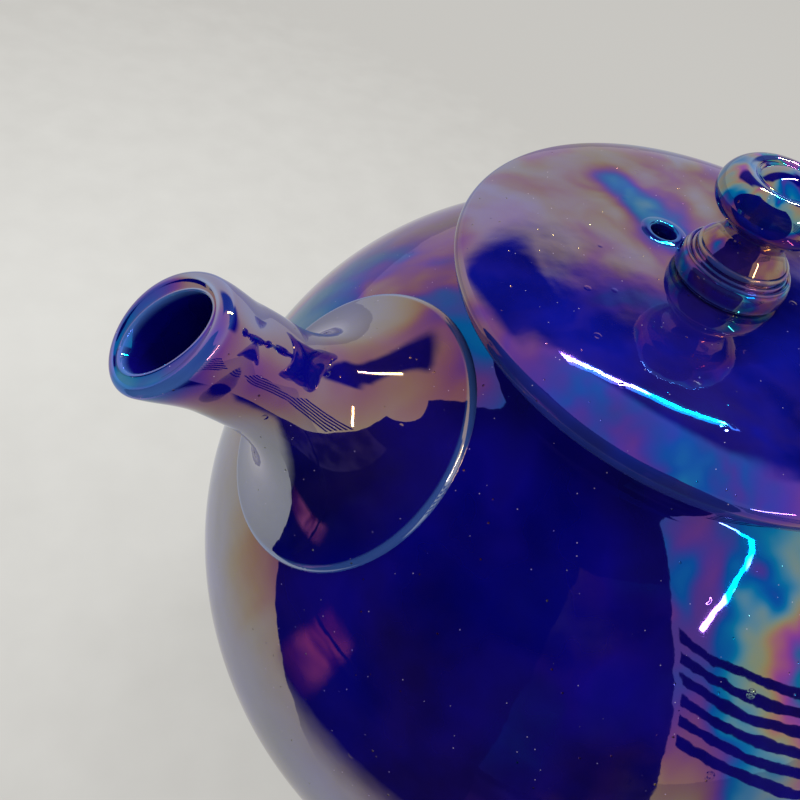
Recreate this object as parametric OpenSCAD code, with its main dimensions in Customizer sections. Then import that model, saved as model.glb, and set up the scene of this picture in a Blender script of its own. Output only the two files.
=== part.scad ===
// Glazed ceramic teapot: a near-round thrown pot with a luted spout and handle,
// and a separate overhanging lid with a turned knob.
// Millimetres. +Z up, spout towards -X, handle towards +X. The origin is the centre of the foot's resting plane.

/* [Pot] */
// Greatest radius of the belly
pot_r = 75; // [70:0.5:82]
// Height of the belly's widest line above the table
belly_h = 64; // [61:0.5:66]
// Half height of the belly's oval, from its widest line to its pole
belly_half_h = 69.6; // [67.5:0.1:72]
// Thickness of the pot's wall
pot_wall = 4.5; // [3.5:0.1:6]
// Thickness of the pot's floor
floor_t = 5; // [4:0.5:8]

/* [Foot] */
// Outer radius of the turned foot ring
foot_r = 40; // [37:0.5:43]
// Width of the foot ring
foot_w = 5.5; // [4:0.5:8]
// Depth of the hollow under the floor
foot_recess = 3; // [2:0.5:4]
// Bevel on both edges of the foot ring
foot_bevel = 0.8; // [0.4:0.1:1.2]

/* [Collar] */
// Height of the lid's seat above the belly, at the collar's outer edge
collar_h = 4.6; // [3.8:0.1:6]
// Outer radius of the collar under the lid
collar_r = 36.5; // [35:0.5:38]
// Radius of the pot's mouth
mouth_r = 31; // [29:0.5:32]
// Rounding of the collar's outer edge
collar_round = 1; // [0.5:0.1:1.5]

/* [Spout] */
// Place of the spout on the belly's oval, turned up from its widest line
spout_turn = 39.7; // [36:0.1:43]
// Rise of the spout's straight foot above the horizontal
spout_rise = 41.6; // [36:0.1:46]
// Length of the flared foot, from the belly's skin along the spout
flare_l = 16; // [15:0.1:18]
// Radius of the flare's concave curve
flare_curve_r = 20; // [18.5:0.1:22]
// Outer radius of the spout's pipe
pipe_r = 8.6; // [8.2:0.1:9.6]
// Thickness of the spout's wall
spout_wall = 2.3; // [2:0.1:2.8]
// Radius of the pipe's gentle bend
bend_r = 66; // [55:1:90]
// Angle that the pipe bends through, from the flare to the middle of the mouth
bend_angle = 14.5; // [11:0.5:17]
// Elevation of the way that the mouth faces
mouth_face = 50; // [42:1:56]
// Radius of the rounded lip's bead
lip_bead_r = 1.7; // [1.2:0.1:2]
// How far the lip's bead stands out of the pipe
lip_swell = 0.9; // [0.4:0.1:1.2]
// Radius of the spout's foot, where it meets the belly
root_r = 22.4; // [20.5:0.1:23.5]
// Radius of the bead round the foot of the spout
root_bead_r = 1.5; // [1.2:0.1:2]

/* [Strainer] */
// Radius of each strainer hole in the wall behind the spout
strainer_hole_r = 2.1; // [1.6:0.1:2.5]
// Distance of the outer holes from the middle one
strainer_pitch = 7.6; // [7:0.1:8.4]
// Number of holes round the middle one
strainer_holes = 6; // [4:1:6]

/* [Handle] */
// Radius of the handle's upper bend, to the middle of the strap
grip_top_r = 30; // [26:0.5:34]
// Radius of its long lower curve
grip_low_r = 57; // [52:0.5:64]
// Distance of the upper bend's centre from the pot's axis
grip_x = 80; // [76:0.5:86]
// Height of the upper bend's centre above the table
grip_h = 86; // [82:0.5:90]
// Width of the strap, side to side
strap_w = 15; // [12:0.5:20]
// Thickness of the strap
strap_t = 9; // [7:0.5:11]
// Radius of the luted pad at each end
pad_r = 12; // [10:0.5:14]
// How far the pads stand out of the wall
pad_h = 2.2; // [1.5:0.1:3]

/* [Lid] */
// Greatest radius of the lid
lid_r = 41.8; // [40:0.1:44]
// Height of the crown above the seat
lid_crown_h = 6.3; // [5.8:0.1:8]
// Fall of the crown's flat curve, from its middle to the shoulder
lid_crown_fall = 0.35; // [0.2:0.05:0.6]
// Height above the seat at which the lid is widest
lid_brim_h = 2; // [1.6:0.1:2.6]
// Radius of the shoulder where the crown turns down to the brim
lid_shoulder_r = 26; // [20:1:30]
// Radius of the brim's upper edge
lid_brim_r = 1.6; // [1.2:0.1:2]
// Radius of the brim's lower edge
lid_under_r = 0.8; // [0.4:0.1:1]
// How far the lower edge is set in under the brim
lid_undercut = 0.4; // [0.2:0.1:0.8]
// Thickness of the lid over the mouth
lid_t = 4.2; // [3.5:0.1:5]
// Depth of the flange that drops into the mouth
flange_l = 8; // [6:0.5:11]
// Thickness of the flange
flange_t = 3; // [2.4:0.1:4]
// Gap all round between the flange and the mouth
flange_gap = 0.6; // [0.4:0.1:1]
// Radius of the vent hole
vent_r = 1.9; // [1.5:0.1:2.5]
// Distance of the vent hole from the middle of the lid
vent_at = 12.7; // [12.5:0.1:18]
// Direction of the vent hole, turned from +X towards +Y
vent_turn = 113.5; // [0:0.5:359.5]

/* [Knob] */
// Radius of the knob's drum at the lid
drum_r = 8.7; // [8:0.1:9.4]
// Height of the drum
drum_h = 3.8; // [3.4:0.1:4.4]
// Radius of the drum's bulging side, seen from the side
drum_side_r = 6; // [5:0.5:8]
// Height of the drum's widest line
drum_wide_h = 1.2; // [0.8:0.1:1.6]
// Radius of the ring above the drum
ring_r = 7.1; // [6.6:0.1:7.5]
// Height of the ring's middle above the drum
ring_rise = 1.5; // [1.3:0.1:1.8]
// Radius of the neck
neck_r = 4.7; // [4.2:0.1:5.2]
// Height of the middle of the neck above the lid's land
neck_h = 9.2; // [8.9:0.1:9.8]
// Greatest radius of the flattened ball
ball_r = 8.9; // [8.5:0.1:9.4]
// Height of the ball's widest line above the lid's land
ball_h = 14.8; // [14.4:0.1:15.5]
// Radius of the ball's rounded edge
ball_edge_r = 3.6; // [3.2:0.1:3.9]
// Radius of the button on top of the ball
button_r = 4.3; // [4:0.1:4.6]
// Rise of the button's domed top
button_h = 1.6; // [1.2:0.1:2]
// Depth of the groove round the button
button_groove = 0.7; // [0.4:0.1:0.9]

/* [Hidden] */
$fn = 96;
glaze = [0.03, 0.03, 0.36];
// Spare length for cutting tools, so that no cut ends on a face
over = 1;
// Bands that the belly's oval is turned in, from pole to pole
belly_bands = 36;

// Point of the belly's oval at angle t, moved inwards by inset
function oval_at(t, inset = 0) = [(pot_r - inset) * cos(t), belly_h + (belly_half_h - inset) * sin(t)];
// Half height of the belly's oval at radius r
function oval_rise(r) = belly_half_h * sqrt(1 - pow(r / pot_r, 2));
// Elevation of the belly's normal at point p
function oval_normal(p) = atan2((p.y - belly_h) / pow(belly_half_h, 2), p.x / pow(pot_r, 2));

// Foot, floor and seat
floor_h = foot_recess + floor_t;
hollow_r = foot_r - foot_w;
foot_top = belly_h - oval_rise(foot_r) + pot_wall / 2;
collar_root = belly_h + oval_rise(collar_r) - pot_wall;
seat_h = belly_h + oval_rise(collar_r) + collar_h;

// Spout: its root on the belly's skin, the flare, and the middle of the mouth in the spout's local frame
root_at = oval_at(spout_turn);
flare_centre_r = pipe_r + flare_curve_r;
bore_r = pipe_r - spout_wall;
mouth_local_x = -bend_r * (1 - cos(bend_angle));
mouth_local_z = flare_l + bend_r * sin(bend_angle);
lip_r = pipe_r + lip_swell - lip_bead_r;
// Depth that the spout's blank and the strainer's drills reach into the belly
root_back = 14;
// Degrees that the pipe's blank runs on past the mouth, where it is cut off
bend_spare = 7;
// Middle of the root's bead, which the flare's curve runs into
root_bead_at = root_r - root_bead_r;
root_bead_h = flare_l - sqrt(pow(flare_curve_r + root_bead_r, 2) - pow(flare_centre_r - root_bead_at, 2));

// Handle: the upper bend passes into the lower curve at the height of both centres
grip_low_x = grip_x + grip_top_r - grip_low_r;
strap_steps = 24;
// Length of strap that runs on inside the belly, where it is cut off
end_spare = 5;
// Halvings of the search for the place where a bend meets the belly
meet_steps = 24;
// Point of a bend of centre x and radius r at angle a, turning up (way 1) or down (way -1) from its outermost point
function bend_at(x, r, way, a) = [x + r * cos(a), grip_h + way * r * sin(a)];
function in_belly(p) = norm([p.x / pot_r, (p.y - belly_h) / belly_half_h]) < 1;
// Angle at which a bend runs into the belly
function meet(x, r, way, low = 0, high = 180, n = meet_steps) = let (mid = (low + high) / 2)
    n == 0 ? mid
    : in_belly(bend_at(x, r, way, mid)) ? meet(x, r, way, low, mid, n - 1) : meet(x, r, way, mid, high, n - 1);
top_meet = meet(grip_x, grip_top_r, 1);
low_meet = meet(grip_low_x, grip_low_r, -1);

// Lid: crown, shoulder and brim arcs, heights measured from the seat
brim_x = lid_r - lid_brim_r;
under_x = lid_r - lid_under_r - lid_undercut;
// Circle through the brim's tangent, with the shoulder's radius, whose top is level with the crown's edge
shoulder_drop = lid_shoulder_r - lid_brim_r;
crown_edge_h = lid_crown_h - lid_crown_fall;
shoulder_z = crown_edge_h - lid_shoulder_r;
shoulder_x = brim_x - sqrt(pow(shoulder_drop, 2) - pow(lid_brim_h - shoulder_z, 2));
brim_turn = atan2(lid_brim_h - shoulder_z, brim_x - shoulder_x);
crown_r = (pow(shoulder_x, 2) + pow(lid_crown_fall, 2)) / (2 * lid_crown_fall);
// Flat land for the knob
land_r = drum_r + 0.4;
land_h = lid_crown_h - (crown_r - sqrt(pow(crown_r, 2) - pow(land_r, 2)));
flange_r = mouth_r - flange_gap;

// Knob: the ledge and the groove between drum and ring, and the cove of the neck
ring_h = drum_h + ring_rise;
ring_round = 0.6;
ledge = 0.3;
groove = 0.4;
cove_r = ring_r + groove - neck_r;
cove_turn = 42;
ball_x = ball_r - ball_edge_r;
ball_dish_h = ball_h + ball_edge_r - button_groove;
button_dome_r = (pow(button_r, 2) + pow(button_h, 2)) / (2 * button_h);

// Points along an arc, from angle a0 to a1
function arc(cx, cy, r, a0, a1, steps) =
    [for (i = [0:steps]) let (a = a0 + (a1 - a0) * i / steps) [cx + r * cos(a), cy + r * sin(a)]];

// Section of the belly, moved inwards by inset
module oval(inset = 0) {
    polygon([for (i = [0:belly_bands]) oval_at(180 * i / belly_bands - 90, inset)]);
}

// The belly's outer form as a solid, which the luted pieces are cut to fit
module belly_form() {
    rotate_extrude($fn = 256) oval();
}

// Places its children in the spout's local frame: +Z along the flared foot, +X upwards
module at_spout() {
    translate([-root_at.x, 0, root_at.y]) rotate([0, spout_rise - 90, 0]) children();
}

// Places its children in the middle of the mouth, +Z the way that it faces
module at_mouth() {
    at_spout() translate([mouth_local_x, 0, mouth_local_z])
        rotate([0, mouth_face - spout_rise, 0]) children();
}

// A bent pipe of radius r that carries on from the flare and past the mouth
module bent_pipe(r) {
    translate([-bend_r, 0, flare_l]) rotate([90, 0, 0])
        rotate_extrude(angle = bend_angle + bend_spare, $fn = 256) translate([bend_r, 0]) circle(r = r);
}

// A flared foot whose concave side is moved inwards by inset
module flare(inset = 0) {
    rotate_extrude() difference() {
        translate([0, -root_back]) square([inset > 0 ? flare_centre_r : root_bead_at, root_back + flare_l]);
        translate([flare_centre_r, flare_l]) circle(r = flare_curve_r + inset, $fn = 128);
        if (inset > 0) translate([flare_centre_r - flare_curve_r, -root_back - over])
            square([flare_curve_r + over, root_back + over + flare_l - flare_curve_r]);
    }
}

// Drills for the strainer: a middle one and a ring of others, along the spout
module strainer_drills() {
    at_spout() translate([0, 0, -root_back]) {
        cylinder(r = strainer_hole_r, h = root_back + flare_l, $fn = 32);
        for (i = [1:strainer_holes]) rotate([0, 0, 360 * i / strainer_holes])
            translate([strainer_pitch, 0, 0]) cylinder(r = strainer_hole_r, h = root_back + flare_l, $fn = 32);
    }
}

module pot() {
    color(glaze) difference() {
        rotate_extrude($fn = 256) difference() {
            intersection() {
                union() {
                    oval();
                    // foot
                    polygon([[0, 0], [foot_r - foot_bevel, 0], [foot_r, foot_bevel], [foot_r, foot_top], [0, foot_top]]);
                    // collar, with a rounded outer edge
                    translate([mouth_r - over, collar_root])
                        square([collar_r - mouth_r + over, seat_h - collar_round - collar_root]);
                    translate([mouth_r - over, collar_root])
                        square([collar_r - mouth_r + over - collar_round, seat_h - collar_root]);
                    translate([collar_r - collar_round, seat_h - collar_round]) circle(r = collar_round, $fn = 48);
                }
                square([2 * pot_r, 2 * pot_r]);
            }
            // inside of the belly, down to the floor
            intersection() {
                oval(pot_wall);
                translate([0, floor_h]) square([2 * pot_r, 2 * pot_r]);
            }
            // mouth, up through the collar
            translate([0, belly_h]) square([mouth_r, seat_h]);
            // hollow under the floor, with the ring's inner bevel
            polygon([[0, -over], [hollow_r + foot_bevel + over, -over], [hollow_r, foot_bevel],
                [hollow_r, foot_recess], [0, foot_recess]]);
        }
        strainer_drills();
    }
}

module spout() {
    color(glaze) difference() {
        union() {
            difference() {
                at_spout() {
                    flare();
                    bent_pipe(pipe_r);
                    translate([0, 0, root_bead_h])
                        rotate_extrude() translate([root_bead_at, 0]) circle(r = root_bead_r, $fn = 48);
                }
                at_mouth() translate([0, 0, 2 * pipe_r]) cube(4 * pipe_r, center = true);
            }
            at_mouth() rotate_extrude() translate([lip_r, 0]) circle(r = lip_bead_r, $fn = 48);
        }
        at_spout() {
            flare(spout_wall);
            bent_pipe(bore_r);
        }
        belly_form();
    }
}

// One bend of the strap, from its outermost point through angle a (above 0 turns upwards)
module strap_bend(x, r, a) {
    translate([x, 0, grip_h]) rotate([90, 0, 0])
        rotate_extrude(angle = a, $fn = 192) translate([r, 0])
            polygon([for (i = [0:strap_steps - 1]) let (t = 360 * i / strap_steps)
                [strap_t / 2 * cos(t), strap_w / 2 * sin(t)]]);
}

// A luted pad at point p of the belly: a low dome that thins out onto it
module pad(p) {
    rise = pad_h + pow(pad_r, 2) / (2 * pot_r);
    dome_r = (pow(pad_r, 2) + pow(rise, 2)) / (2 * rise);
    translate([p.x, 0, p.y]) rotate([0, 90 - oval_normal(p), 0]) intersection() {
        translate([0, 0, pad_h - dome_r]) sphere(r = dome_r, $fn = 128);
        translate([0, 0, -pot_wall]) cylinder(r = pad_r, h = 2 * pot_wall);
    }
}

module handle() {
    color(glaze) difference() {
        union() {
            strap_bend(grip_x, grip_top_r, top_meet + asin(end_spare / grip_top_r));
            strap_bend(grip_low_x, grip_low_r, -low_meet - asin(end_spare / grip_low_r));
            pad(bend_at(grip_x, grip_top_r, 1, top_meet));
            pad(bend_at(grip_low_x, grip_low_r, -1, low_meet));
        }
        belly_form();
    }
}

module lid() {
    color(glaze) difference() {
        union() {
            translate([0, 0, seat_h]) rotate_extrude($fn = 256) difference() {
                polygon(concat(
                    [[0, 0], [under_x, 0]],
                    arc(under_x, lid_under_r, lid_under_r, -90, -30, 4),
                    arc(brim_x, lid_brim_h, lid_brim_r, 0, brim_turn, 6),
                    arc(shoulder_x, shoulder_z, lid_shoulder_r, brim_turn, 90, 16),
                    arc(0, lid_crown_h - crown_r, crown_r, acos(shoulder_x / crown_r), acos(land_r / crown_r), 8),
                    [[0, land_h]]));
                // hollow under the crown, inside the flange
                square([flange_r - flange_t, lid_crown_h - lid_t]);
            }
            translate([0, 0, seat_h - flange_l]) difference() {
                cylinder(r = flange_r, h = flange_l, $fn = 256);
                translate([0, 0, -over]) cylinder(r = flange_r - flange_t, h = flange_l + 2 * over, $fn = 256);
            }
        }
        rotate([0, 0, vent_turn]) translate([vent_at, 0, seat_h]) cylinder(r = vent_r, h = 2 * lid_crown_h, $fn = 48);
    }
}

module knob() {
    color(glaze) translate([0, 0, seat_h + land_h]) rotate_extrude($fn = 192) intersection() {
        union() {
            polygon(concat(
                [[0, 0]],
                arc(drum_r - drum_side_r, drum_wide_h, drum_side_r, -asin(drum_wide_h / drum_side_r),
                    asin((drum_h - drum_wide_h) / drum_side_r), 6),
                [[ring_r + ledge, drum_h + ledge], [ring_r - groove, drum_h + ledge + groove],
                    [ring_r - groove, ring_h - ring_round]],
                arc(ring_r - ring_round, ring_h, ring_round, -45, 90, 6),
                arc(neck_r + cove_r, neck_h, cove_r, 180 + cove_turn, 180 - cove_turn, 12),
                [[0, neck_h + cove_r]]));
            // flattened ball
            translate([ball_x, ball_h]) circle(r = ball_edge_r, $fn = 96);
            translate([0, ball_h - ball_edge_r]) square([ball_x, ball_dish_h - ball_h + ball_edge_r]);
            // button
            intersection() {
                translate([0, ball_dish_h + button_h - button_dome_r]) circle(r = button_dome_r, $fn = 96);
                translate([0, ball_h]) square([button_r, 2 * ball_edge_r]);
            }
        }
        // half plane to the right of the turning axis
        square([drum_r + ball_r, 2 * ball_h]);
    }
}

pot();
spout();
handle();
lid();
knob();
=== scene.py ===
"""Dresses the glazed teapot: smooth thrown and luted forms, a cobalt lustre glaze and a plain pale studio.

Millimetres are written as such and turned to metres by MM. +Z is up, the spout points to -X and the
handle to +X.
"""

import logging
import math
from dataclasses import dataclass
from enum import Enum
from typing import Callable, Sequence, Union

import bpy
import numpy as np
from mathutils import Matrix, Vector


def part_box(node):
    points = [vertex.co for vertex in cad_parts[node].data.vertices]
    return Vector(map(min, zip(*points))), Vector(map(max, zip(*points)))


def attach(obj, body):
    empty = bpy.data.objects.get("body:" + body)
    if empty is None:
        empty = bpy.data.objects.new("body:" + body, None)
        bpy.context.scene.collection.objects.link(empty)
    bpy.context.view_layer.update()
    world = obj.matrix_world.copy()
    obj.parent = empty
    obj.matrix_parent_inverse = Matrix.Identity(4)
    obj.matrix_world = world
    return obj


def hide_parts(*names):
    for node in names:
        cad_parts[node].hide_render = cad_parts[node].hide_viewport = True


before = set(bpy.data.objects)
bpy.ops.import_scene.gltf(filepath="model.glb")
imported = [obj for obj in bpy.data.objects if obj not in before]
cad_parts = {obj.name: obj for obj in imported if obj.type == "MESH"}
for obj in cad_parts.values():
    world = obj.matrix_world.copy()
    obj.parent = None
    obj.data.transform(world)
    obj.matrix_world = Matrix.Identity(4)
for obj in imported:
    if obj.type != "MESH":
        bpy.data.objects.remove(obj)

MM = 0.001
FULL_TURN = 2.0 * math.pi
SMOOTH_BELOW = math.radians(38)
LOG = logging.getLogger("teapot")

Point = tuple[float, float]
Place = tuple[float, float, float]
Tree = bpy.types.NodeTree
Socket = bpy.types.NodeSocket
SocketValue = Union[float, Sequence[float], Socket]


# --- small tools ----------------------------------------------------------------------------------


def arc(centre: Point, radius: float, start: float, end: float, steps: int) -> list[Point]:
    """Gives the points of an arc.

    Args:
        centre: The arc's middle, across and up.
        radius: Its radius.
        start: First angle in degrees, from the across direction towards up.
        end: Last angle in degrees.
        steps: How many steps lie between them.

    Returns:
        The steps + 1 points in order.
    """
    angles = [math.radians(start + (end - start) * i / steps) for i in range(steps + 1)]
    return [(centre[0] + radius * math.cos(a), centre[1] + radius * math.sin(a)) for a in angles]


def soft_step(value: float, low: float, high: float) -> float:
    """Rises smoothly from 0 at low to 1 at high."""
    share = min(1.0, max(0.0, (value - low) / (high - low)))
    return share * share * (3.0 - 2.0 * share)


def soft_corner(before: Point, corner: Point, after: Point, steps: int = 6) -> list[Point]:
    """Gives a rounded corner as a quadratic curve from one point to another.

    Args:
        before: Where the rounding starts.
        corner: The sharp corner that it replaces.
        after: Where the rounding ends.
        steps: How many steps it has.

    Returns:
        The points in order, both ends included.
    """
    points = []
    for i in range(steps + 1):
        t = i / steps
        points.append(tuple((1 - t) ** 2 * a + 2 * t * (1 - t) * b + t * t * c
                            for a, b, c in zip(before, corner, after)))
    return points


def deselect_all() -> None:
    """Leaves edit mode and deselects every object."""
    if bpy.context.mode != "OBJECT":
        bpy.ops.object.mode_set(mode="OBJECT")
    bpy.ops.object.select_all(action="DESELECT")


def make_active(piece: bpy.types.Object) -> None:
    """Selects one object alone and makes it the active one.

    Args:
        piece: The object.
    """
    deselect_all()
    piece.select_set(True)
    bpy.context.view_layer.objects.active = piece


def settle(piece: bpy.types.Object, name: str) -> None:
    """Names a piece and puts its place into its mesh.

    Args:
        piece: The piece.
        name: Its name, which its mesh gets too.
    """
    make_active(piece)
    bpy.ops.object.transform_apply(location=True, rotation=True, scale=True)
    piece.name = name
    piece.data.name = name


def clean_shell(piece: bpy.types.Object) -> None:
    """Merges doubled points and turns every face outwards.

    Args:
        piece: The closed piece.
    """
    make_active(piece)
    bpy.ops.object.mode_set(mode="EDIT")
    bpy.ops.mesh.select_all(action="SELECT")
    bpy.ops.mesh.remove_doubles(threshold=0.002 * MM)
    bpy.ops.mesh.normals_make_consistent(inside=False)
    bpy.ops.object.mode_set(mode="OBJECT")


def turned(name: str, profile: Sequence[Point], steps: int) -> bpy.types.Object:
    """Draws a profile point by point and spins it round the Z axis.

    Args:
        name: The new piece's name.
        profile: Radius and height of each point, in mm.
        steps: Number of steps in the full turn.

    Returns:
        The turned piece, at the origin.
    """
    deselect_all()
    first = Vector((profile[0][0], 0.0, profile[0][1])) * MM
    bpy.ops.mesh.primitive_plane_add(size=MM, location=first)
    piece = bpy.context.active_object
    settle(piece, name)
    bpy.ops.object.mode_set(mode="EDIT")
    bpy.ops.mesh.select_mode(type="VERT")
    bpy.ops.mesh.select_all(action="SELECT")
    bpy.ops.mesh.merge(type="CENTER")
    for (r0, z0), (r1, z1) in zip(profile, profile[1:]):
        move = Vector((r1 - r0, 0.0, z1 - z0)) * MM
        bpy.ops.mesh.extrude_region_move(TRANSFORM_OT_translate={"value": move})
    bpy.ops.mesh.select_all(action="SELECT")
    bpy.ops.mesh.spin(steps=steps, angle=FULL_TURN, center=(0, 0, 0), axis=(0, 0, 1))
    clean_shell(piece)
    return piece


def warp(piece: bpy.types.Object, rule: Callable[[Vector], Vector]) -> None:
    """Moves every point of a piece by a rule.

    Args:
        piece: The piece to shape.
        rule: Gives a point's new place from its old one, both in metres.
    """
    for vertex in piece.data.vertices:
        vertex.co = rule(vertex.co)
    piece.data.update()


def apply_modifier(piece: bpy.types.Object, kind: str, **settings: object) -> None:
    """Adds a modifier, sets it and applies it.

    Args:
        piece: The piece that it works on.
        kind: Blender's name of the modifier's type.
        **settings: Values for its properties.
    """
    make_active(piece)
    modifier = piece.modifiers.new(kind.lower(), kind)
    for key, value in settings.items():
        setattr(modifier, key, value)
    bpy.ops.object.modifier_apply(modifier=modifier.name)


def drill(piece: bpy.types.Object, cutters: Sequence[bpy.types.Object]) -> None:
    """Cuts holes into a piece and deletes the cutters.

    Args:
        piece: The piece that is drilled.
        cutters: Closed solids that are taken away from it.
    """
    for cutter in cutters:
        apply_modifier(piece, "BOOLEAN", operation="DIFFERENCE", solver="EXACT", object=cutter)
    for cutter in cutters:
        bpy.data.objects.remove(cutter)


def mark_convexity(piece: bpy.types.Object, passes: int = 2) -> None:
    """Stores how strongly the surface bulges at each point, for glaze that thins on edges.

    Args:
        piece: The finished piece, which gets the attribute "convexity" in 1/m, above 0 where it bulges.
        passes: How often the values are averaged with their neighbours'.
    """
    mesh = piece.data
    count = len(mesh.vertices)
    places, normals = np.empty(count * 3), np.empty(count * 3)
    mesh.vertices.foreach_get("co", places)
    mesh.vertices.foreach_get("normal", normals)
    places, normals = places.reshape(-1, 3), normals.reshape(-1, 3)
    ends = np.empty(len(mesh.edges) * 2, np.int32)
    mesh.edges.foreach_get("vertices", ends)
    a, b = ends.reshape(-1, 2).T
    along = places[b] - places[a]
    square = np.maximum((along ** 2).sum(1), 1e-12)
    degree = np.bincount(a, minlength=count) + np.bincount(b, minlength=count)
    bulge = (np.bincount(a, -2 * (normals[a] * along).sum(1) / square, count)
             + np.bincount(b, 2 * (normals[b] * along).sum(1) / square, count)) / np.maximum(degree, 1)
    for _ in range(passes):
        around = np.bincount(a, bulge[b], count) + np.bincount(b, bulge[a], count)
        bulge = 0.5 * bulge + 0.5 * around / np.maximum(degree, 1)
    store = mesh.attributes.new("convexity", "FLOAT", "POINT")
    store.data.foreach_set("value", bulge.astype(np.float32))


# --- finishes -------------------------------------------------------------------------------------


def colour(code: str) -> tuple[float, float, float, float]:
    """Turns an sRGB hex colour to linear RGBA.

    Args:
        code: The colour as "#rrggbb".

    Returns:
        Linear red, green and blue, and an alpha of 1.
    """
    parts = [int(code[i:i + 2], 16) / 255.0 for i in (1, 3, 5)]
    linear = [p / 12.92 if p <= 0.04045 else ((p + 0.055) / 1.055) ** 2.4 for p in parts]
    return (linear[0], linear[1], linear[2], 1.0)


def per_size(size_mm: float) -> float:
    """Gives the texture scale at which a pattern's cell measures size_mm."""
    return 1.0 / (size_mm * MM)


def add_node(tree: Tree, kind: str, inputs: dict[Union[str, int], SocketValue] | None = None,
             **settings: object) -> bpy.types.Node:
    """Adds a node with its settings, values and links.

    Args:
        tree: The tree that gets the node.
        kind: The node's type, without "ShaderNode".
        inputs: Value or source socket for each input, by name or number.
        **settings: Values for the node's own properties.

    Returns:
        The new node.
    """
    node = tree.nodes.new("ShaderNode" + kind)
    for key, value in settings.items():
        setattr(node, key, value)
    for key, value in (inputs or {}).items():
        if isinstance(value, Socket):
            tree.links.new(value, node.inputs[key])
        else:
            node.inputs[key].default_value = value
    return node


def new_material(name: str) -> tuple[bpy.types.Material, Tree]:
    """Makes a material whose node tree is empty.

    Args:
        name: The material's name.

    Returns:
        The material and its tree.
    """
    made = bpy.data.materials.new(name)
    made.use_nodes = True
    made.node_tree.nodes.clear()
    return made, made.node_tree


def ramp(tree: Tree, source: Socket, stops: Sequence[tuple[float, str]]) -> bpy.types.Node:
    """Adds a colour ramp.

    Args:
        tree: The tree that gets it.
        source: The socket that drives it.
        stops: Place from 0 to 1 and sRGB hex colour of each stop.

    Returns:
        The ramp's node.
    """
    node = add_node(tree, "ValToRGB", {"Fac": source})
    elements = node.color_ramp.elements
    while len(elements) < len(stops):
        elements.new(0.5)
    for element, (place, code) in zip(elements, stops):
        element.position = place
        element.color = colour(code)
    return node


class Flow(Enum):
    """How the lustre ran over a piece while it was fired, as the pattern's scale along X, Y and Z."""

    POOLED = (1.0, 1.0, 1.0)
    RUNNING = (1.0, 1.0, 0.45)


@dataclass(frozen=True)
class Halo:
    """A round place where the film is thicker, such as a vent's rim where lustre gathered. Sizes in mm."""

    centre: Place
    reach: float
    extra_nm: float


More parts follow.
